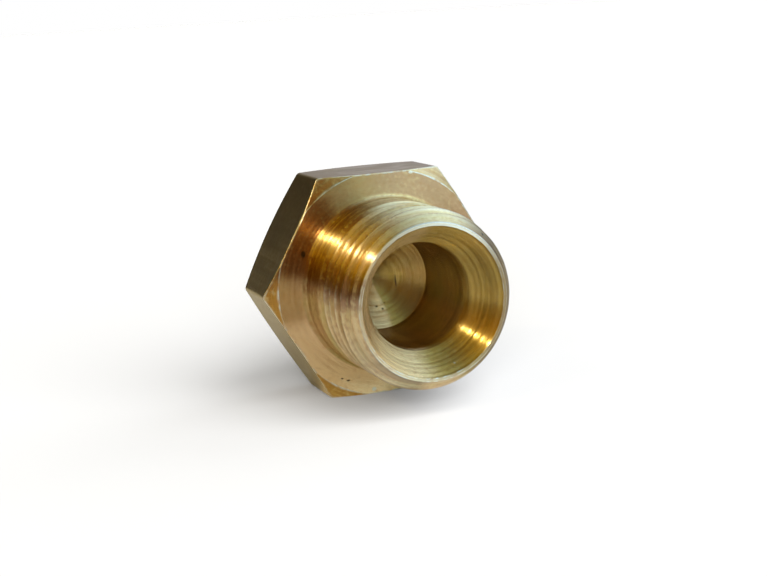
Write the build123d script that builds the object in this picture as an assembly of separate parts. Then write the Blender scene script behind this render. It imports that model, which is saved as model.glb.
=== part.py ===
from build123d import *
import math
import os

# Hexagon-head blanking plug for a G 1/2 parallel pipe port, turned in one piece. All sizes are in mm.
# +X is the plug's axis, towards the threaded end, and +Z is square to one flat of the head.
# The origin is on the axis, in the plane of the head's face that seats on the port.

# Head: a hexagon bar with slightly rounded corners, turned to a cone at its back and at its seat
across_flats = 27.0
head_height = 9.5
bar_corner_radius = 0.5
back_circle_diameter = 26.4
seat_circle_diameter = 27.7
head_chamfer_angle = 30.0

# Stud: a filleted neck, a cone where the thread runs out, the threaded length and a turned lead-in
stud_length = 14.0
neck_diameter = 21.0
neck_fillet = 0.7
neck_length = 4.5
run_out_length = 1.1
lead_in_length = 1.9

# Right-hand pipe thread of the Whitworth form, whose depth is given in pitches, and where along the axis
# the middle of its ridge passes the top of the stud
thread_diameter = 20.955
threads_per_inch = 14
thread_angle = 55.0
thread_depth_in_pitches = 0.640327
ridge_at_top = 5.86

# Mouth: a narrow flat rim, the 60 degree cone that a coned pipe end seals on, and a steeper throat
rim_width = 0.35
cone_mouth_diameter = 17.5
cone_angle = 60.0
cone_end_diameter = 12.7
throat_length = 1.15

# Blind bore, with its depth taken from the mouth to the outer edge of the drill point
bore_diameter = 12.1
bore_depth = 16.0
drill_point_angle = 118.0


def turned(*outline):
    """Solid turned about X from a closed outline of (place along the axis, radius) points."""
    return revolve(make_face(Plane.XZ * Polyline(*outline, close=True)), Axis.X)


def hexagon_head():
    """The bar's hexagon, from the back face to the seat, inside the two turned cones."""
    bar = extrude(Plane.YZ * RegularPolygon(across_flats / 2, 6, major_radius=False), -head_height)
    bar = fillet(bar.edges().filter_by(Axis.X), bar_corner_radius)
    corner = across_flats / math.sqrt(3)
    back_circle = back_circle_diameter / 2
    seat_circle = seat_circle_diameter / 2
    slope = math.tan(math.radians(head_chamfer_angle))
    envelope = turned(
        (-head_height, 0),
        (-head_height, back_circle),
        ((corner - back_circle) * slope - head_height, corner),
        ((seat_circle - corner) * slope, corner),
        (0, seat_circle),
        (0, 0),
    )
    return bar & envelope


def thread_ridge(pitch, root):
    """Helical ridge with the thread's flanks and height, left flat at its crest.

    It is swept one turn at a time, from inside the neck to past the end of the stud, and it reaches a
    little below the root, into the core that carries it.
    """
    crest = thread_diameter / 2
    foot = root - pitch / 16
    flank = math.tan(math.radians(thread_angle / 2))
    crest_half_width = pitch / 4 - (crest - root) / 2 * flank
    foot_half_width = crest_half_width + (crest - foot) * flank
    section = Polyline(
        (-foot_half_width, foot),
        (-crest_half_width, crest),
        (crest_half_width, crest),
        (foot_half_width, foot),
        close=True,
    )
    turns_inside = math.ceil((ridge_at_top - neck_length) / pitch) + 1
    start = ridge_at_top - turns_inside * pitch
    turns = math.ceil((stud_length - start) / pitch) + 1
    turn = Helix(pitch, pitch, crest, center=(start, 0, 0), direction=(1, 0, 0))
    path = Wire([turn.moved(Location((count * pitch, 0, 0))) for count in range(turns)])
    across = Plane(origin=(start, 0, 0), x_dir=(1, 0, 0), z_dir=(0, -1, 0))
    return sweep(make_face(across * section), path=path, is_frenet=True)


def stud():
    """Neck, run-out cone and thread, turned down to the rim along the lead-in.

    The lead-in's cone is carried on to as far outside the neck as the rim lies inside it.
    """
    pitch = 25.4 / threads_per_inch
    root = thread_diameter / 2 - thread_depth_in_pitches * pitch
    neck = neck_diameter / 2
    core = turned(
        (0, 0),
        (0, neck),
        (neck_length, neck),
        (neck_length + run_out_length, root),
        (stud_length, root),
        (stud_length, 0),
    )
    rim = cone_mouth_diameter / 2 + rim_width
    rise = neck - rim
    fall = (thread_diameter / 2 - rim) / lead_in_length
    lead_in = turned(
        (0, 0),
        (0, neck + rise),
        (stud_length - 2 * rise / fall, neck + rise),
        (stud_length, rim),
        (stud_length, 0),
    )
    return (core + thread_ridge(pitch, root)) & lead_in


def cavity():
    """What is bored out from the mouth: cone, throat, bore and drill point."""
    cone_mouth = cone_mouth_diameter / 2
    cone_end = cone_end_diameter / 2
    bore = bore_diameter / 2
    cone_length = (cone_mouth - cone_end) / math.tan(math.radians(cone_angle / 2))
    point_length = bore / math.tan(math.radians(drill_point_angle / 2))
    throat_start = stud_length - cone_length
    bore_end = stud_length - bore_depth
    return turned(
        (stud_length, 0),
        (stud_length, cone_mouth),
        (throat_start, cone_end),
        (throat_start - throat_length, bore),
        (bore_end, bore),
        (bore_end - point_length, 0),
    )


def threaded_plug():
    """Head and threaded stud as one piece, filleted where the stud leaves the seat, and bored blind."""
    plug = hexagon_head() + stud()
    neck = plug.edges().filter_by(GeomType.CIRCLE).filter_by(
        lambda edge: abs(edge.radius - neck_diameter / 2) < 1e-3 and abs(edge.center().X) < 1e-3
    )
    plug = fillet(neck, neck_fillet)
    return plug - cavity()


os.makedirs("parts", exist_ok=True)
export_step(threaded_plug(), "parts/threaded_plug.step")
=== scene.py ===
"""Hexagon-head blanking plug with a pipe thread, a coned mouth and a blind bore, laid on a pale floor."""
import math

import bpy
import numpy as np
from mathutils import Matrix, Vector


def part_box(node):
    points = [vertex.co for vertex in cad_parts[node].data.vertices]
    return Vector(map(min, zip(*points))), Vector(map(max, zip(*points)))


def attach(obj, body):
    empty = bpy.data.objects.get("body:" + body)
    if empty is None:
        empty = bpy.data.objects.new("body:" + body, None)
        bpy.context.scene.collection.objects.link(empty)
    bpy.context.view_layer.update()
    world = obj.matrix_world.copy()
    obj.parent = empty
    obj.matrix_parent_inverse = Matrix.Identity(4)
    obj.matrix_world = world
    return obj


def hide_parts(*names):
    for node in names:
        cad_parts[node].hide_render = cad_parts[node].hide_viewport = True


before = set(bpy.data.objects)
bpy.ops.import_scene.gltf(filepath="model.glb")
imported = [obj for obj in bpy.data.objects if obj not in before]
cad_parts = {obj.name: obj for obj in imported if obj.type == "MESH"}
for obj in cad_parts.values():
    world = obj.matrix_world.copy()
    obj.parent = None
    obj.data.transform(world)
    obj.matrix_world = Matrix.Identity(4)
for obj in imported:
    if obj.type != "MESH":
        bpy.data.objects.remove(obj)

bl_info = {
    "name": "Threaded Plug",
    "version": (1, 0, 0),
    "blender": (4, 5, 0),
    "location": "View3D > Sidebar > Threaded Plug",
    "description": "Makes a plated blanking plug with its pipe thread, and the stage that it lies on",
    "category": "Object",
}

NODE = "threaded_plug"
BODY = "root"
MM = 0.001

# The solid's box: +X runs along the axis towards the mouth, x = 0 is the seat, +Z is square to a flat
LOW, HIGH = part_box(NODE)
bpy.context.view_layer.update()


# ---------------------------------------------------------------- sizes and colours that a user would change

def length(name, description, default):
    """A size in metres."""
    return bpy.props.FloatProperty(name=name, description=description, default=default, subtype="DISTANCE",
                                   unit="LENGTH", precision=5)


def angle(name, description, degrees):
    """An angle, given in degrees."""
    return bpy.props.FloatProperty(name=name, description=description, default=math.radians(degrees),
                                   subtype="ANGLE", unit="ROTATION")


def tint(name, description, colour):
    """A colour, linear red, green and blue."""
    return bpy.props.FloatVectorProperty(name=name, description=description, default=colour, size=3, min=0.0,
                                         max=4.0, subtype="COLOR")


def share(name, description, default, high=1.0):
    """A plain number without a unit."""
    return bpy.props.FloatProperty(name=name, description=description, default=default, min=0.0, max=high)


class PlugHead(bpy.types.PropertyGroup):
    """The hexagon head, turned to a cone at its back and at its seat."""
    across_flats: length("Across flats", "Width of the spanner that fits the head", HIGH.z - LOW.z)
    height: length("Height", "From the back face to the seat", -LOW.x)
    corner_radius: length("Corner radius", "Rounding of the bar's six long edges", 0.5 * MM)
    back_circle: length("Back circle", "Diameter of the flat back face", 26.4 * MM)
    seat_circle: length("Seat circle", "Diameter of the seat face", 27.7 * MM)
    chamfer: angle("Chamfer", "Slope of both turned cones off the faces", 30)
    edge_radius: length("Edge radius", "Rounding of the worn edges", 0.13 * MM)


class PlugStud(bpy.types.PropertyGroup):
    """The neck, the pipe thread and the turned lead-in."""
    neck: length("Neck", "Diameter of the plain neck", 21.0 * MM)
    neck_fillet: length("Neck fillet", "Radius where the neck leaves the seat", 0.7 * MM)
    neck_length: length("Neck length", "From the seat to where the thread runs out", 4.5 * MM)
    run_out: length("Run-out", "From the plain neck to the thread's full depth", 1.1 * MM)
    thread: length("Thread diameter", "Over the crests of the thread", 20.955 * MM)
    pitch: length("Pitch", "14 threads per inch", 25.4 / 14 * MM)
    flank: angle("Thread angle", "Angle between the two flanks", 55)
    crest_at_top: length("Crest at top", "Where a crest passes the top of the stud", 5.86 * MM)
    lead_in: length("Lead-in", "Length of the cone that starts the thread", 1.9 * MM)


class PlugMouth(bpy.types.PropertyGroup):
    """The flat rim, the sealing cone, the throat and the blind bore."""
    cone_mouth: length("Cone mouth", "Diameter of the sealing cone at the rim", 17.5 * MM)
    rim_width: length("Rim width", "Width of the flat rim round the cone", 0.35 * MM)
    rim_edge: length("Rim edge", "Rounding of the rim's two edges", 0.05 * MM)
    cone_end: length("Cone end", "Diameter where the sealing cone ends", 12.7 * MM)
    cone_angle: angle("Cone angle", "Between opposite sides of the sealing cone", 60)
    throat: length("Throat", "Length of the steeper cone behind the sealing cone", 1.15 * MM)
    bore: length("Bore", "Diameter of the blind bore", 12.1 * MM)
    bore_depth: length("Bore depth", "From the rim to the outer edge of the drill point", 16.0 * MM)
    point_angle: angle("Drill point", "Between opposite sides of the drill point", 118)


class PlugFinish(bpy.types.PropertyGroup):
    """Yellow passivated zinc on turned steel, and the colours that paint light and shade on some of its
    sides.
    """
    gold: tint("Gold", "Main colour of the passivated zinc", (0.56, 0.41, 0.16))
    rose: tint("Rose", "Colour where the film is rosier", (0.58, 0.385, 0.19))
    olive: tint("Olive", "Colour where the film is greener", (0.49, 0.425, 0.19))
    # painted shade: this colour paints the sides in PAINTED_SHADE_SIDES browner, and a few random patches
    brown: tint("Brown", "Colour of the sides where the film is thickest", (0.28, 0.13, 0.045))
    # partly the turned corners' own colour, partly painted shade, set side by side in film_colour
    orange_and_painted_shade: tint("Orange", "Colour of the hexagon's turned corners", (0.45, 0.24, 0.04))
    # painted light: this colour paints the sides in PAINTED_LIGHT_SIDES paler, and a few random patches
    pale: tint("Pale", "Colour of the sides where the film is thinnest", (0.93, 0.72, 0.44))
    deep: tint("Deep gold", "Film colour inside the mouth", (0.62, 0.44, 0.11))
    # painted shade on the upper right of the head's face
    painted_shade_mauve: tint("Mauve", "Tinge of the head's turned face on its far side", (0.21, 0.12, 0.17))
    ring: tint("Rings", "Colour of the dark rings that turning left", (0.16, 0.09, 0.02))
    flats: tint("Flats", "Colour of the bar's drawn flats", (0.47, 0.35, 0.115))
    dark_speck: tint("Dark specks", "Colour of the fine dark specks", (0.40, 0.20, 0.055))
    pale_speck: tint("Pale specks", "Colour of the fine pale specks", (0.70, 0.60, 0.33))
    # painted shade: this colour darkens the thread's roots, half as much over the top of the stud
    root: tint("Roots", "Film colour in the roots of the thread", (0.34, 0.19, 0.05))
    # painted highlight: this colour lightens streaks along the top of the stud
    painted_highlight: tint("Bleached", "Colour of the streaks along the top of the stud", (0.88, 0.78, 0.54))
    # also a painted highlight: this colour paints the rim whiter over its top
    bare: tint("Bare zinc", "Colour of worn edges", (0.68, 0.71, 0.67))
    # painted shade: this colour dulls the plug's right side and the rim
    painted_shade_colour: tint("Stain", "Colour of the stud's stained side", (0.14, 0.09, 0.03))
    pit: tint("Pits", "Colour of pits and knocks", (0.05, 0.035, 0.02))
    roughness: share("Roughness", "Roughness of the turned faces", 0.17)
    lean: share("Lean", "Depth of the lathe marks", 1.0, 2.0)


class PlugStage(bpy.types.PropertyGroup):
    """Camera, floor and light."""
    azimuth: angle("Azimuth", "Camera's turn about the vertical, from looking along +Y", 68.38)
    elevation: angle("Elevation", "Camera's height above the level", 11.455)
    roll: angle("Roll", "Camera's turn about its own line of sight", -3.35)
    distance: length("Distance", "From the camera to the point it looks at", 169.4 * MM)
    lens: bpy.props.FloatProperty(name="Lens", description="Focal length in millimetres", default=66.05)
    floor: tint("Floor", "Colour of the floor", (0.10, 0.10, 0.10))
    dimmed: tint("Dimmed floor", "Colour of the floor as the plug reflects it", (0.06, 0.06, 0.06))
    glow: share("Glow", "Light of the floor as the camera sees it", 0.04, 4.0)
    glow_left: tint("Left glow", "Light that the plug gets from the floor on its left", (0.37, 0.28, 0.13))
    glow_front: tint("Front glow", "Light that it gets from the floor before its mouth", (0.51, 0.49, 0.34))
    glow_back: tint("Back glow", "Light that it gets from the rest of the floor", (0.04, 0.03, 0.0))
    backdrop: tint("Backdrop", "Colour behind the floor's far edge", (1.0, 1.0, 1.0))


# ---------------------------------------------------------------- shapes

# The 55 degree thread form, as shares of the pitch: radius of the round crest and root, and depth
FORM_RADIUS = 0.137329
FORM_DEPTH = 0.640327

# Spacing of the rings along the thread, in mm
THREAD_STEP = 0.055

# Distance of the rings that keep a flat face flat beside a rounded edge, in mm
GUARD = 0.06

# Where rings stand on the head's two cones, as shares of the slope
CHAMFER_RINGS = (0.15, 0.5, 0.85)


def mm(size):
    """A size in metres as a number of millimetres."""
    return size / MM


class Lathe:
    """Collects rings, each a place along the axis and a radius, round the columns' angles, in mm."""

    def __init__(self, angles):
        self.angles = angles
        self.rows = []

    def add(self, x, r, wear=0.0, flat=0.0):
        """One ring. Place, radius, wear and flatness are numbers or one value for each column."""
        n = len(self.angles)
        self.rows.append([np.broadcast_to(np.asarray(v, float), (n,)) for v in (x, r, wear, flat)])

    def arc(self, x, r, radius, start, end, steps, wear=0.0, flat=0.0):
        """A quarter or less of a circle about (x, r), between two directions in degrees off the axis."""
        for t in np.radians(np.linspace(start, end, steps + 1)):
            self.add(x + radius * math.cos(t), r + radius * math.sin(t), wear, flat)

    def line(self, x0, r0, x1, r1, shares, wear=0.0, flat=0.0):
        """Rings on the straight line between two points, at these shares of its length."""
        for t in shares:
            self.add(x0 + (x1 - x0) * t, r0 + (r1 - r0) * t, wear, flat)

    def mesh(self, name, first, last):
        """The closed skin: rings joined by quads, with a fan from the first pole and one to the last."""
        n = len(self.angles)
        x, r, wear, flat = np.array(self.rows).transpose(1, 0, 2)
        ring = np.stack([x, r * np.cos(self.angles), r * np.sin(self.angles)], -1).reshape(-1, 3)
        count = len(x)
        points = np.concatenate([ring, [[first, 0, 0], [last, 0, 0]]]) * MM
        j = np.arange(n)
        k = (j + 1) % n
        i = np.arange(count - 1)[:, None] * n
        quads = np.stack([i + j, i + k, i + n + k, i + n + j], -1).reshape(-1, 4)
        start = np.stack([np.full(n, count * n), k, j], -1)
        end = np.stack([np.full(n, count * n + 1), (count - 1) * n + j, (count - 1) * n + k], -1)
        mesh = bpy.data.meshes.new(name)
        mesh.from_pydata(points.tolist(), [], quads.tolist() + start.tolist() + end.tolist())
        for label, values in (("wear", wear), ("flat", flat)):
            layer = mesh.attributes.new(label, "FLOAT", "POINT")
            layer.data.foreach_set("value", np.append(values.ravel(), [0.0, 0.0]).astype(np.float32))
        mesh.shade_smooth()
        mesh.update()
        return mesh


def corner_start(across, corner):
    """Angle off a flat's normal, in degrees, at which the flat meets the corner's circle."""
    return math.degrees(math.atan((across / 2 - corner) * math.tan(math.radians(30)) / (across / 2)))


def column_angles(across, corner):
    """Angles round the axis, denser towards the hexagon's corners, which lie at whole sixths of a turn."""
    start = corner_start(across, corner)
    half = np.array([*range(2, 28, 2), 27.4, 28.5, start - 0.12, *np.linspace(start, 30, 4)])
    off = np.concatenate([-half[::-1][1:], [0.0], half])
    return np.radians((np.arange(6)[:, None] * 60 + 30 + off).ravel())


def hexagon_radius(angles, across, corner):
    """Radius of a hexagon with rounded corners.

    On a flat it is half the width over the cosine of the angle off the flat's normal. Near a corner it is
    where the ray leaves the corner's circle.
    """
    off = np.abs(np.degrees(angles) % 60 - 30)
    side = across / 2 / np.cos(np.radians(off))
    centre = (across / 2 - corner) / math.cos(math.radians(30))
    turn = np.radians(30 - off)
    rounded = centre * np.cos(turn) + np.sqrt(np.maximum(corner**2 - (centre * np.sin(turn)) ** 2, 0))
    return np.where(off > corner_start(across, corner), rounded, side)


def thread_radius(x, angles, stud):
    """Radius of the right-hand thread at each place, and how near its crest each place is.

    The distance from the nearest crest line, which moves on by one pitch a turn, gives the form: an arc at
    the crest, a straight flank, an arc at the root. It is never less than the run-out's cone.
    """
    pitch = mm(stud.pitch)
    half = stud.flank / 2
    top = mm(stud.thread) / 2
    arc = FORM_RADIUS * pitch
    depth = FORM_DEPTH * pitch
    middle = mm(stud.crest_at_top) + pitch * (angles / (2 * math.pi) - 0.25)
    off = np.abs(((x - middle) / pitch + 0.5) % 1 - 0.5) * pitch
    reach = arc * math.cos(half)
    crest = top - arc + np.sqrt(np.maximum(arc**2 - off**2, 0))
    root = top - depth + arc - np.sqrt(np.maximum(arc**2 - (pitch / 2 - off) ** 2, 0))
    flank = top - arc * (1 - math.sin(half)) - (off - reach) / math.tan(half)
    form = np.where(off < reach, crest, np.where(off > pitch / 2 - reach, root, flank))
    neck = mm(stud.neck) / 2
    bite = min(max((x - mm(stud.neck_length)) / mm(stud.run_out), 0), 1)
    worn = np.clip(1 - off / reach, 0, 1) * bite
    return np.maximum(form, neck + (top - depth - neck) * bite), worn


def stations(stud, mouth):
    """Places along the axis in mm: the ends of the neck, the full thread, the stud and the hole's parts."""
    end = mm(HIGH.x)
    cone_end = end - mm(mouth.cone_mouth - mouth.cone_end) / 2 / math.tan(mouth.cone_angle / 2)
    bore_end = end - mm(mouth.bore_depth)
    return {
        "neck": mm(stud.neck_length),
        "lead": end - mm(stud.lead_in),
        "end": end,
        "cone": cone_end,
        "throat": cone_end - mm(mouth.throat),
        "bore": bore_end,
        "tip": bore_end - mm(mouth.bore) / 2 / math.tan(mouth.point_angle / 2),
    }


def add_head(skin, head, foot):
    """Rings of the back face, its cone, the flats, the seat's cone, and the seat up to the neck's foot."""
    height = mm(head.height)
    edge = mm(head.edge_radius)
    slope = head.chamfer
    degrees = math.degrees(slope)
    bar = hexagon_radius(skin.angles, mm(head.across_flats), mm(head.corner_radius))
    back_circle = mm(head.back_circle) / 2
    seat_circle = mm(head.seat_circle) / 2
    tuck = edge * math.tan(slope / 2)
    rise = edge * math.sin(slope)
    run = edge * math.cos(slope)

    # the rings on flat faces only keep the shading even
    for r in (*np.linspace(2.0, back_circle - 0.4, 6), back_circle - tuck - GUARD):
        skin.add(-height, r)
    skin.arc(-height + edge, back_circle - tuck, edge, 180, 180 - degrees, 4, wear=0.8)
    back = -height + (math.sin(slope) * (bar - edge - back_circle) + edge) / math.cos(slope)
    low = -height + edge - run
    skin.line(low, back_circle - tuck + rise, back - run, bar - edge + rise, CHAMFER_RINGS)
    skin.arc(back, bar - edge, edge, 180 - degrees, 90, 5, wear=0.9, flat=0.5)
    front = np.minimum(-edge, -(math.sin(slope) * (bar - edge - seat_circle) + edge) / math.cos(slope))
    skin.line(back, bar, front, bar, (0.01, 0.15, 0.35, 0.5, 0.65, 0.85, 0.99), flat=1.0)

    skin.arc(front, bar - edge, edge, 90, degrees, 5, wear=0.6, flat=0.4)
    inner = np.minimum(seat_circle - tuck, bar - edge)
    skin.line(front + run, bar - edge + rise, -edge + run, inner + rise, CHAMFER_RINGS)
    skin.arc(-edge, inner, edge, degrees, 0, 4, wear=1.0)
    skin.add(0, inner - GUARD)
    for r in (*np.linspace(seat_circle - 0.65, foot + 0.2, 6), foot + GUARD):
        skin.add(0, r)


def add_stud(skin, stud, mouth, at):
    """Rings of the neck's fillet, the neck, the thread and the lead-in, up to the rim's outer edge."""
    neck = mm(stud.neck) / 2
    fillet = mm(stud.neck_fillet)
    skin.arc(fillet, neck + fillet, fillet, 180, 270, 9)
    for x in np.linspace(fillet + GUARD, at["neck"] - 0.1, 6):
        skin.add(x, neck)

    # the lead-in's cone cuts the crests off, and the last ring stays clear of the rim's rounding
    rim = mm(mouth.cone_mouth) / 2 + mm(mouth.rim_width)
    rim_edge = mm(mouth.rim_edge)
    crest = mm(stud.thread) / 2
    fall = (crest - rim) / (at["end"] - at["lead"])
    for x in np.arange(at["neck"], at["end"] - 1.6 * rim_edge, THREAD_STEP):
        radius, worn = thread_radius(x, skin.angles, stud)
        cone = crest - (x - at["lead"]) * fall
        skin.add(x, np.minimum(radius, cone), wear=worn * (radius < cone) * 0.55)

    outside = math.atan2(1, fall)
    tuck = rim_edge * math.tan(outside / 2)
    skin.arc(at["end"] - rim_edge, rim - tuck, rim_edge, math.degrees(outside), 0, 3, wear=1.0)


def add_mouth(skin, mouth, at):
    """Rings of the flat rim, the sealing cone, the throat, the bore and the drill point."""
    end = at["end"]
    cone_mouth = mm(mouth.cone_mouth) / 2
    rim = cone_mouth + mm(mouth.rim_width)
    rim_edge = mm(mouth.rim_edge)
    inside = math.pi / 2 - mouth.cone_angle / 2
    tuck = rim_edge * math.tan(inside / 2)
    inset = rim_edge + 0.04
    skin.line(end, rim - inset, end, cone_mouth + inset, (0.0, 0.5, 1.0), wear=0.3)
    skin.arc(end - rim_edge, cone_mouth + tuck, rim_edge, 0, -math.degrees(inside), 3, wear=1.0)

    cone_end = mm(mouth.cone_end) / 2
    bore = mm(mouth.bore) / 2
    skin.line(end, cone_mouth, at["cone"], cone_end, (0.025, 0.05, 0.2, 0.35, 0.5, 0.65, 0.8, 0.93, 0.985))
    skin.line(at["cone"], cone_end, at["throat"], bore, (0.0, 0.05, 0.3, 0.6, 0.92, 1.0))
    skin.line(at["throat"], bore, at["bore"], bore, (0.01, 0.1, 0.25, 0.4, 0.55, 0.7, 0.85, 0.97, 0.995))
    skin.line(at["bore"], bore, at["tip"], 0, (0.0, 0.01, 0.05, 0.15, 0.3, 0.45, 0.6, 0.75, 0.88, 0.96))


def plug_mesh(head, stud, mouth):
    """The whole plug as one closed skin of rings, from the back face's middle to the drill point's tip."""
    at = stations(stud, mouth)
    skin = Lathe(column_angles(mm(head.across_flats), mm(head.corner_radius)))
    add_head(skin, head, mm(stud.neck) / 2 + mm(stud.neck_fillet))
    add_stud(skin, stud, mouth, at)
    add_mouth(skin, mouth, at)
    return skin.mesh("threaded_plug_skin", -mm(head.height), at["tip"])


# ---------------------------------------------------------------- shader expressions

class Wire:
    """A shader socket. Plain operators on it add Math nodes, and call() on its tree adds any other node."""

    def __init__(self, tree, socket):
        self.tree = tree
        self.socket = socket

    def math(self, operation, *others):
        """A Math node on this value and the others."""
        return self.tree.call("Math", {"operation": operation}, self, *others)

    def __add__(self, other):
        return self.math("ADD", other)

    def __radd__(self, other):
        return self.math("ADD", other)

    def __mul__(self, other):
        return self.math("MULTIPLY", other)

    def __rmul__(self, other):
        return self.math("MULTIPLY", other)

    def __sub__(self, other):
        return self.math("SUBTRACT", other)

    def __rsub__(self, other):
        return self.tree.call("Math", {"operation": "SUBTRACT"}, other, self)

    def __truediv__(self, other):
        return self.math("DIVIDE", other)

    def __pow__(self, other):
        return self.math("POWER", other)

    def step(self, low, high):
        """0 below low, 1 above high, smooth between. Where low is the greater, it falls from 1 to 0."""
        return self.tree.call("MapRange", {"interpolation_type": "SMOOTHSTEP"}, self, low, high, 0.0, 1.0)


class Tree:
    """A node tree that is written as expressions."""

    def __init__(self, owner):
        owner.use_nodes = True
        self.nodes = owner.node_tree.nodes
        self.links = owner.node_tree.links
        self.nodes.clear()

    def feed(self, socket, value):
        """Links a wire to a socket, or sets a number, a vector or a colour on it."""
        if isinstance(value, Wire):
            self.links.new(value.socket, socket)
        elif socket.type == "RGBA":
            socket.default_value = (*value[:3], 1.0)
        else:
            socket.default_value = value

    def node(self, kind, settings=None, *values, **named):
        """One node: its settings, then its inputs by order and by name. None leaves an input as it is."""
        made = self.nodes.new("ShaderNode" + kind)
        for key, value in (settings or {}).items():
            setattr(made, key, value)
        for key, value in [*enumerate(values), *named.items()]:
            if value is not None:
                self.feed(made.inputs[key if isinstance(key, int) else key.replace("_", " ")], value)
        return made

    def call(self, kind, settings=None, *values, out=0, **named):
        """The wire from one output of a new node."""
        return Wire(self, self.node(kind, settings, *values, **named).outputs[out])

    def split(self, vector):
        """The three parts of a vector."""
        return [Wire(self, socket) for socket in self.node("SeparateXYZ", None, vector).outputs]

    def vector(self, operation, *values, out=0):
        """A Vector Math node."""
        return self.call("VectorMath", {"operation": operation}, *values, out=out)

    def scale(self, vector, factor):
        """A vector times a number."""
        return self.vector("SCALE", vector, None, None, factor)

    def blend(self, factor, low, high):
        """Mix of two colours."""
        made = self.node("Mix", {"data_type": "RGBA"})
        for index, value in ((0, factor), (6, low), (7, high)):
            self.feed(made.inputs[index], value)
        return Wire(self, made.outputs[2])

    def end(self, kind, shader):
        """Ends the tree with its output node."""
        self.node(kind, None, shader)


# ---------------------------------------------------------------- the plug's finish

# Small marks of use: the middle and the half sizes of each, along X, Y and Z, in mm
PITS = (
    ((0.0, -10.45, 4.8), (0.5, 0.3, 0.45)),    # knock at the foot of the neck
    ((-3.5, -0.2, -3.5), (0.2, 0.16, 0.16)),   # pits in the drill point
    ((-3.3, 0.5, -3.85), (0.2, 0.14, 0.14)),
    ((-3.6, 0.9, -3.2), (0.2, 0.1, 0.1)),
    ((-3.9, 2.7, -0.65), (0.5, 0.09, 0.95)),   # scratch across the drill point
    ((0.0, -5.8, -11.35), (0.3, 0.26, 0.12)),  # pits low on the seat
    ((0.0, -6.6, -11.0), (0.3, 0.2, 0.1)),
    ((13.2, 6.7, 6.95), (0.3, 0.2, 0.2)),      # scar on the lead-in
)
NICKS = (
    ((12.8, 2.65, -7.6), (0.2, 0.12, 0.1)),    # knock in the sealing cone
    ((0.0, 3.9, 13.2), (0.2, 0.35, 0.2)),      # knocks on the hexagon's edges
    ((0.0, -2.5, -12.95), (0.3, 0.35, 0.3)),
)

# Painted light and painted shade, side by side: the first table lists the sides that are painted paler and
# the second those painted browner. Each row gives the part, the middle of the side as an angle round the
# axis, how far off it this holds and where it has faded out, in degrees, and how strong it is
# Sides painted paler, as painted light
PAINTED_LIGHT_SIDES = (
    ("face", -128, 22, 45, 1.2),
    ("turned_corners", -128, 22, 45, -1.0),
    ("cone", -155, 35, 85, 1.1),
    ("cone", 115, 15, 40, 0.5),
    ("neck", 92, 6, 20, 0.5),
    ("thread", -142, 22, 50, 0.55),
    ("thread", 125, 18, 42, 0.55),
    ("wall", -122, 12, 45, 1.4),
    ("wall", 48, 5, 25, 0.5),
    ("point", -105, 15, 36, 1.1),
)
# Sides painted browner, as painted shade
PAINTED_SHADE_SIDES = (
    ("face", 147, 8, 32, 1.0),
    ("neck", 120, 6, 22, 0.7),
    ("stud", 166, 4, 18, 0.75),
    ("cone", -28, 3, 22, 0.35),
    ("point", -15, 20, 70, 0.45),
)

# Slopes of the finest lathe marks. Each is a layer of its own, so highlights draw out across the marks
SLOPES = (-0.9, -0.55, -0.25, -0.1, 0.1, 0.25, 0.55, 0.9)


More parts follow.
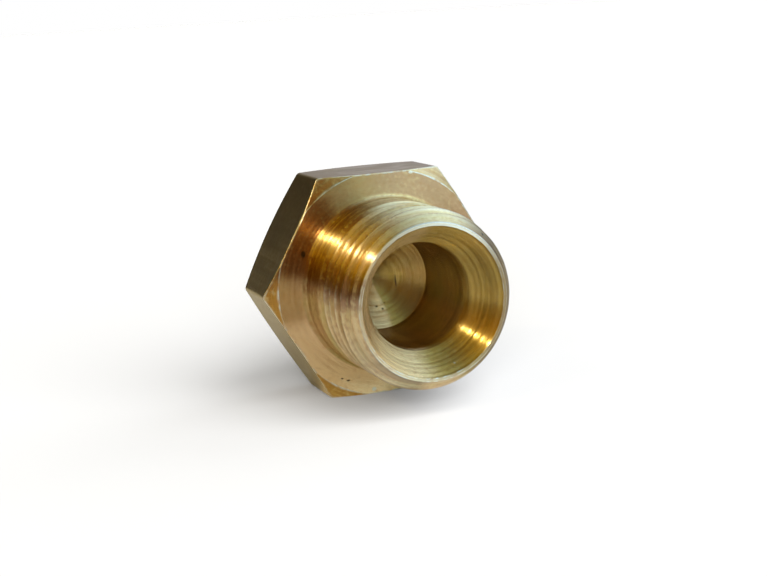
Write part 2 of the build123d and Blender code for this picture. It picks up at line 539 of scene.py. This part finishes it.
class Surface:
    """Where a point of the plug lies, its parts as masks from 0 to 1, and the noises of its finish."""

    def __init__(self, t, head, stud, mouth):
        self.t = t
        self.place = t.call("TexCoord", out=3)
        self.x, self.y, self.z = t.split(self.place)
        self.radius = (self.y * self.y + self.z * self.z).math("SQRT")
        self.across = self.y / (self.radius + 1e-6)
        self.up = self.z / (self.radius + 1e-6)
        self.normal = t.call("NewGeometry", out=1)
        self.wear = t.call("Attribute", {"attribute_name": "wear"}, out=2)
        self.flat = t.call("Attribute", {"attribute_name": "flat"}, out=2)
        self.find_parts(head, stud, mouth)
        self.ragged = self.patches(0.0025, 4.0, 7.0) - 0.5
        self.bands = self.marks(1300.0, 0.8, 3.0) - 0.5
        self.rings = self.marks(3200.0, 0.4, 2.0) - 0.5
        self.streaks = self.rings * self.stud * 0.8
        self.specks = self.patches(0.0005, 3.0, 11.0)
        plain = (1 - self.flat * 0.6) * (1 - self.drilled * 0.6)
        self.mottled = plain * (1 - self.face * 0.4) * (1 - self.cone * 0.4)

    def find_parts(self, head, stud, mouth):
        """The parts' masks, from the sizes of the shape. Where two parts meet, one fades into the other."""
        at = stations(stud, mouth)
        neck = mm(stud.neck) / 2
        crest = mm(stud.thread) / 2
        rim = mm(mouth.cone_mouth) / 2
        bore = mm(mouth.bore) / 2
        seat = mm(head.seat_circle) / 2
        facing = self.t.vector("DOT_PRODUCT", self.normal, (1.0, 0.0, 0.0), out=1)
        sloping = facing.step(0.75, 0.85) * (1 - facing.step(0.88, 0.97))

        self.face = facing.step(0.8, 0.95) * self.beyond(neck, neck + mm(stud.neck_fillet))
        self.corners = sloping * self.beyond(seat - 0.45, seat - 0.15)
        self.turned_corners = self.face * self.corners
        self.drilled = self.beyond(bore + 0.35, bore + 0.05) * self.along(at["tip"] - 0.4, at["bore"] - 2.0)
        self.point = self.drilled * self.along(at["bore"] + 0.2, at["bore"] - 0.1)
        self.wall = self.drilled * (1 - self.point)
        self.cone = self.beyond(rim + 0.05, rim - 0.05) * self.along(at["throat"] - 0.2, at["throat"] + 0.8)
        self.land = self.along(at["end"] - 0.2, at["end"] - 0.1) * (1 - self.cone)

        # the stud's mask is 1 on the head's back and sides too
        self.stud = (1 - self.face) * (1 - self.drilled) * (1 - self.cone)
        self.thread = self.stud * self.along(at["neck"] + 0.5, at["neck"] + 1.5)
        self.neck = self.stud - self.thread
        self.lead_in = self.along(at["lead"] - 0.3, at["lead"] + 0.5)
        deep = self.beyond(crest - 0.18, crest - 0.78)
        self.roots = self.thread * self.along(at["lead"] + 0.1, at["lead"] - 0.2) * deep

    def along(self, low, high):
        """Rises from 0 to 1 between two places along the axis, in mm, and falls where low is the greater."""
        return self.x.step(low * MM, high * MM)

    def beyond(self, low, high):
        """The same between two distances from the axis."""
        return self.radius.step(low * MM, high * MM)

    def side(self, degrees, near, far):
        """1 along one side of the plug, 0 elsewhere. The limits are angles round the axis."""
        a = math.radians(degrees)
        towards = self.across * math.cos(a) + self.up * math.sin(a)
        return towards.step(math.cos(math.radians(far)), math.cos(math.radians(near)))

    def sides(self, rows):
        """The sum of sides of parts, each times its strength."""
        total = 0.0
        for part, degrees, near, far, strength in rows:
            total = getattr(self, part) * self.side(degrees, near, far) * strength + total
        return total

    def marks(self, fineness, spread, detail):
        """Noise that runs in rings: fine along the profile, slow round the axis."""
        x, r = self.x * fineness, self.radius * fineness
        profile = self.t.call("CombineXYZ", None, x, r, self.across * spread)
        return self.t.call("TexNoise", {"noise_dimensions": "4D"}, Vector=profile, W=self.up * spread,
                           Scale=1.0, Detail=detail)

    def patches(self, size, detail, seed=0.0):
        """Plain noise with patches of this size in metres."""
        return self.t.call("TexNoise", {"noise_dimensions": "4D"}, Vector=self.place, W=seed,
                           Scale=1 / size, Detail=detail)

    def spots(self, rows):
        """1 in each small mark. A mark is an ellipsoid: its middle and its half sizes, in mm."""
        total = 0.0
        for middle, size in rows:
            off = self.t.vector("SUBTRACT", self.place, tuple(c * MM for c in middle))
            off = self.t.vector("DIVIDE", off, tuple(c * MM for c in size))
            total = self.t.vector("LENGTH", off, out=1).step(1.15, 0.6).math("MAXIMUM", total)
        return total


def film_colour(s, finish):
    """The film's colour before wear, with painted light and shade.

    Patches of gold, rose and olive a few millimetres wide come first. Then the sides of each part listed in
    the two tables are painted paler, as painted light, and browner, as painted shade, with a few random
    patches of both; the head's face gets a painted shade on its upper right, the turned corners get a colour
    of their own that is partly painted shade, and dark rings follow the lathe's marks.
    """
    t = s.t
    rosy = (s.patches(0.006, 3.0) + s.ragged * 0.5).step(0.40, 0.64) * (1 - s.face * 0.75) + s.face * 0.75
    green = (s.patches(0.005, 2.0, 4.0) + s.bands * 0.5).step(0.42, 0.62) * (1 - s.face)
    colour = t.blend(rosy, finish.gold, finish.rose)
    colour = t.blend(green * 0.6, colour, finish.olive)
    colour = t.blend(s.cone * 0.75 + s.point * 0.4, colour, finish.deep)
    # painted shade: the head's face is darkened towards purple on its upper right
    colour = t.blend(s.face * s.side(45, 35, 60) * 0.3, colour, finish.painted_shade_mauve)

    # painted light and painted shade: the sides in the two tables are painted paler and browner, and the
    # noise adds a few random patches of both
    painted_light_and_pale_patches = (s.sides(PAINTED_LIGHT_SIDES) + s.ragged * 0.7).step(0.1, 1.0)
    painted_shade_and_brown_patches = (s.sides(PAINTED_SHADE_SIDES) + s.ragged * (s.stud * 0.7 + 0.5) + s.bands * 0.6).step(0.1, 0.9)
    # The turned corners get their colour, left out on their upper right and weaker on their upper left:
    # partly their own colour, partly painted shade set side by side
    orange_and_painted_shade = s.corners * (1 - s.side(50, 30, 60)) * (0.9 - s.side(115, 20, 40) * 0.4)
    ringed = s.bands.step(0.08, -0.22) * (1 - s.face) * (1 - s.flat)
    ringed = ringed * (s.side(85, 20, 60) * s.stud * 0.15 + 0.3)
    colour = t.blend(painted_light_and_pale_patches * 0.9, colour, finish.pale)
    colour = t.blend(orange_and_painted_shade, colour, finish.orange_and_painted_shade)
    colour = t.blend(painted_shade_and_brown_patches, colour, finish.brown)
    colour = t.blend(ringed, colour, finish.ring)
    return t.blend(s.flat, colour, finish.flats)


def speckled(s, finish, colour):
    """Adds fine specks, drawn into streaks on the stud, painted shade in the thread's roots and a painted
    highlight along the stud's top.
    """
    t = s.t
    grain = s.specks + s.streaks
    # painted highlight: streaks along the top of the stud are painted lighter, less on the lead-in
    painted_highlight = s.stud * s.side(78, 18, 42) * (s.bands * 5.0 + s.streaks * 3.0 + 0.45)
    colour = t.blend(grain.step(0.50, 0.74) * s.mottled * 0.55, colour, finish.dark_speck)
    colour = t.blend(grain.step(0.50, 0.28) * s.mottled * 0.45, colour, finish.pale_speck)
    # painted shade in the thread's roots, half as strong over the top
    colour = t.blend(s.roots * (1 - s.side(75, 25, 50) * 0.5) * 0.55, colour, finish.root)
    return t.blend(painted_highlight * (0.5 - s.lead_in * 0.2), colour, finish.painted_highlight)


def worn(s, finish, colour):
    """Adds what use has left: edges, crests and the rim rubbed bare, pits and nicks.
    It also paints the rim whiter over its top, as a painted highlight, and darkens the plug's right side and
    the rim, as painted shade.
    """
    t = s.t
    edges = s.wear * s.patches(0.0010, 3.0, 2.0).step(0.33, 0.62)
    # The rim is worn bare all round and painted whiter over its top, as a painted highlight
    rim = s.land * (s.side(75, 32, 62) * 0.55 + 0.3)
    crests = s.thread * (s.bands * 2.0 + 0.5) * 0.2
    # painted shade: the plug's right side is dulled, and the rim a little all round and more on the right
    painted_shade_mask = (s.stud - s.land) * s.side(-5, 40, 78) * 0.7 + s.land * (s.side(-5, 30, 60) * 0.35 + 0.1)
    colour = t.blend(edges.math("MAXIMUM", rim).math("MAXIMUM", crests), colour, finish.bare)
    colour = t.blend(painted_shade_mask, colour, finish.painted_shade_colour)
    colour = t.blend(s.spots(PITS) * 0.9, colour, finish.pit)
    return t.blend(s.spots(NICKS) * 0.7, colour, finish.bare)


def fine_marks(s):
    """Which way the fine marks lean the surface, and how far at each place.

    Lathe marks lean it along its profile, and the drawing lines of the flats lean it across the flat.
    """
    t = s.t
    around = t.call("CombineXYZ", None, 0.0, s.up * -1.0, s.across)
    profile = t.vector("CROSS_PRODUCT", around, s.normal)
    turned = t.scale(profile, (1 - s.flat) * (1 - s.drilled * 0.6))
    lines = t.call("CombineXYZ", None, s.x * 60.0, s.y * 3000.0, s.z * 3000.0)
    drawn = t.call("TexNoise", {"noise_dimensions": "3D"}, Vector=lines, Scale=1.0, Detail=2.0) - 0.5
    depth = (s.rings * (s.drilled + 1.1 - s.face * 0.7) + s.bands * s.stud * 0.7) * (1 - s.flat)
    return t.vector("ADD", turned, t.scale(around, s.flat * 0.3)), depth + drawn * 0.6 * s.flat


def plated_steel(finish, head, stud, mouth):
    """Turned steel, zinc plated and yellow passivated, with fine marks that draw its highlights out."""
    material = bpy.data.materials.new("yellow_passivated_zinc")
    t = Tree(material)
    s = Surface(t, head, stud, mouth)
    colour = worn(s, finish, speckled(s, finish, film_colour(s, finish)))
    roughness = s.flat * 0.14 + finish.roughness + (s.ragged + (s.specks - 0.5) * s.mottled) * 0.12
    lean, depth = fine_marks(s)
    skin = None
    for count, slope in enumerate(SLOPES, start=1):
        tilt = t.scale(lean, depth + slope * finish.lean)
        tilted = t.vector("NORMALIZE", t.vector("ADD", s.normal, tilt))
        layer = t.call("BsdfPrincipled", None, colour, Metallic=1.0, Roughness=roughness, Normal=tilted)
        skin = layer if skin is None else t.call("MixShader", None, 1 / count, skin, layer)
    t.end("OutputMaterial", skin)
    return material


# ---------------------------------------------------------------- stage

# Soft lights round the plug: azimuth and elevation in degrees, narrowness, linear colour
ROOM = (
    (28, 8, 14, (0.7, 1.3, 1.5)),    # low window in front
    (60, 8, 14, (1.1, 1.1, 0.9)),    # pale sill on the right
    (52, 35, 7, (1.8, 2.1, 2.1)),    # main window, on the right
    (105, 35, 7, (0.2, 0.4, 0.8)),   # sky beside it
    (150, 8, 14, (0.3, 0.3, 0.5)),   # low pale wall behind
    (140, 40, 7, (0.6, 0.6, 0.5)),   # pale wall over it
    (285, 35, 8, (1.5, 0.8, 0.0)),   # warm wall on the left
    (285, 65, 10, (0.8, 0.6, 0.0)),  # warm ceiling on the left
    (90, 65, 8, (0.4, 0.6, 0.8)),    # cool ceiling on the right
)
ROOM_DARK = 0.01

# Suns that light the floor only: name, azimuth, elevation, width in degrees, strength
FLOOR_SUNS = (
    ("floor_front", 25, 42, 60, 25.5),
    ("floor_low", -20, 17, 36, 28.0),
    ("floor_right", 100, 30, 40, 5.5),
)
WHITE = (1.0, 1.0, 1.0)

# The small warm lamp that makes the glints
LAMP = ("lamp", -68, 43.5, 4, 1.4)
LAMP_COLOUR = (1.0, 0.87, 0.56)

# Radii of the floor's rings in metres, and how many sides it has
FLOOR_RINGS = (0.05, 0.2, 1.0, 6.0)
FLOOR_SIDES = 96

# The point that the camera looks at, in mm
TARGET = (1.61, -1.09, -0.20)


def direction(azimuth, elevation):
    """Unit vector from two angles in degrees. Azimuth 0 is in front of the mouth and 90 on its right."""
    a, e = math.radians(azimuth), math.radians(elevation)
    return np.array([math.cos(a) * math.cos(e), math.sin(a) * math.cos(e), math.sin(e)])


def floor_paint(stage):
    """A pale matt sheet with a faint grain, lit a little from below. The plug reflects it dimmer."""
    material = bpy.data.materials.new("pale_sheet")
    t = Tree(material)
    place = t.call("TexCoord", out=3)
    grain = t.call("TexNoise", None, Vector=place, Scale=900.0, Detail=2.0)
    paint = t.blend(grain, tuple(c * 0.985 for c in stage.floor), stage.floor)
    x, y, _ = t.split(place)
    turn = y.math("ARCTAN2", x)
    front = turn.step(-0.1, 0.1) * turn.step(1.15, 0.95)
    left = turn.step(-2.2, -2.0) * turn.step(-0.95, -1.15)
    bounced = t.blend(front, t.blend(left, stage.glow_back, stage.glow_left), stage.glow_front)

    def sheet(colour, light):
        """A matt sheet of this colour that gives off this light."""
        return t.call("BsdfPrincipled", None, colour, Roughness=0.9, Specular_IOR_Level=0.0,
                      Emission_Color=light, Emission_Strength=1.0)

    seen = t.call("LightPath")
    mixed = t.call("MixShader", None, seen, sheet(stage.dimmed, bounced), sheet(paint, [stage.glow] * 3))
    t.end("OutputMaterial", mixed)
    return material


def floor_mesh():
    """A disc of rings at the solid's lowest place, its rim far outside the view."""
    turn = np.arange(FLOOR_SIDES) * 2 * math.pi / FLOOR_SIDES
    reach = np.array(FLOOR_RINGS)[:, None]
    ring = np.stack(np.broadcast_arrays(reach * np.cos(turn), reach * np.sin(turn), LOW.z), -1)
    j = np.arange(FLOOR_SIDES)
    k = (j + 1) % FLOOR_SIDES
    i = np.arange(len(FLOOR_RINGS) - 1)[:, None] * FLOOR_SIDES
    quads = np.stack([i + j, i + FLOOR_SIDES + j, i + FLOOR_SIDES + k, i + k], -1).reshape(-1, 4)
    mesh = bpy.data.meshes.new("floor")
    mesh.from_pydata(ring.reshape(-1, 3).tolist(), [], quads.tolist() + [j.tolist()])
    return mesh


def add_sun(scene, name, azimuth, elevation, width, strength, colour):
    """A far light, as wide in the sky as the angle says."""
    data = bpy.data.lights.new(name, "SUN")
    data.energy = strength
    data.angle = math.radians(width)
    data.color = colour
    towards = direction(azimuth, elevation)
    sun = bpy.data.objects.new(name, data)
    sun.rotation_mode = "QUATERNION"
    sun.rotation_quaternion = Vector(towards).to_track_quat("Z", "Y")
    sun.location = towards * 0.5
    scene.collection.objects.link(sun)
    return sun


def add_room(scene, stage):
    """A dark room with soft lights round it, each a smooth bump of light, and a plain backdrop."""
    world = bpy.data.worlds.new("room")
    scene.world = world
    t = Tree(world)
    towards = t.call("TexCoord")
    room = t.call("CombineXYZ", None, ROOM_DARK, ROOM_DARK, ROOM_DARK)
    for azimuth, elevation, narrowness, colour in ROOM:
        middle = direction(azimuth, elevation).tolist()
        bump = t.vector("DOT_PRODUCT", towards, middle, out=1).math("MAXIMUM", 0.0) ** narrowness
        room = t.vector("ADD", room, t.scale(colour, bump))
    lit = t.call("Background", None, room, 1.0)
    plain = t.call("Background", None, stage.backdrop, 1.0)
    t.end("OutputWorld", t.call("MixShader", None, t.call("LightPath"), lit, plain))


def add_camera(scene, stage):
    """Looks at the plug from its front left, a little above it."""
    a, e, roll = stage.azimuth, stage.elevation, stage.roll
    back = np.array([math.sin(a) * math.cos(e), -math.cos(a) * math.cos(e), math.sin(e)])
    level = np.array([math.cos(a), math.sin(a), 0.0])
    right = level * math.cos(roll) + np.cross(back, level) * math.sin(roll)
    data = bpy.data.cameras.new("camera")
    data.lens = stage.lens
    data.clip_start = 0.01
    data.clip_end = 50.0
    camera = bpy.data.objects.new("camera", data)
    matrix = np.eye(4)
    matrix[:3, 0] = right
    matrix[:3, 1] = np.cross(back, right)
    matrix[:3, 2] = back
    matrix[:3, 3] = np.array(TARGET) * MM + back * stage.distance
    camera.matrix_world = Matrix(matrix.tolist())
    scene.collection.objects.link(camera)
    scene.camera = camera


# ---------------------------------------------------------------- operators

class MakePlug(bpy.types.Operator):
    """Makes the plug's skin, with its thread, in place of the plain solid"""
    bl_idname = "threaded_plug.make_plug"
    bl_label = "Make Plug"

    def execute(self, context):
        scene = context.scene
        sizes = (scene.plug_head, scene.plug_stud, scene.plug_mouth)
        mesh = plug_mesh(*sizes)
        mesh.materials.append(plated_steel(scene.plug_finish, *sizes))
        piece = bpy.data.objects.new("plug_with_thread", mesh)
        scene.collection.objects.link(piece)
        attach(piece, BODY)
        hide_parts(NODE)
        return {"FINISHED"}


class MakeStage(bpy.types.Operator):
    """Makes the floor, the lights and the camera"""
    bl_idname = "threaded_plug.make_stage"
    bl_label = "Make Stage"

    def execute(self, context):
        scene = context.scene
        stage = scene.plug_stage
        mesh = floor_mesh()
        mesh.materials.append(floor_paint(stage))
        floor = bpy.data.objects.new("floor", mesh)
        scene.collection.objects.link(floor)

        floor_only = bpy.data.collections.new("floor_only")
        floor_only.objects.link(floor)
        for row in FLOOR_SUNS:
            sun = add_sun(scene, *row, WHITE)
            sun.light_linking.receiver_collection = floor_only
        add_sun(scene, *LAMP, LAMP_COLOUR)
        add_room(scene, stage)
        add_camera(scene, stage)
        scene.view_settings.view_transform = "Standard"
        return {"FINISHED"}


class PlugPanel(bpy.types.Panel):
    """Lists the sizes, the colours and the steps"""
    bl_label = "Threaded Plug"
    bl_idname = "VIEW3D_PT_threaded_plug"
    bl_space_type = "VIEW_3D"
    bl_region_type = "UI"
    bl_category = "Threaded Plug"

    def draw(self, context):
        for name, group in GROUPS.items():
            box = self.layout.box()
            box.label(text=name.replace("_", " ").title())
            for key in group.__annotations__:
                box.prop(getattr(context.scene, name), key)
        for step in STEPS:
            self.layout.operator(step.bl_idname)


GROUPS = {"plug_head": PlugHead, "plug_stud": PlugStud, "plug_mouth": PlugMouth, "plug_finish": PlugFinish,
          "plug_stage": PlugStage}
STEPS = (MakePlug, MakeStage)
CLASSES = (*GROUPS.values(), *STEPS, PlugPanel)


def register():
    for cls in CLASSES:
        bpy.utils.register_class(cls)
    for name, group in GROUPS.items():
        setattr(bpy.types.Scene, name, bpy.props.PointerProperty(type=group))


def unregister():
    for name in GROUPS:
        delattr(bpy.types.Scene, name)
    for cls in reversed(CLASSES):
        bpy.utils.unregister_class(cls)


def main():
    register()
    bpy.ops.threaded_plug.make_plug()
    bpy.ops.threaded_plug.make_stage()


if __name__ == "__main__":
    main()
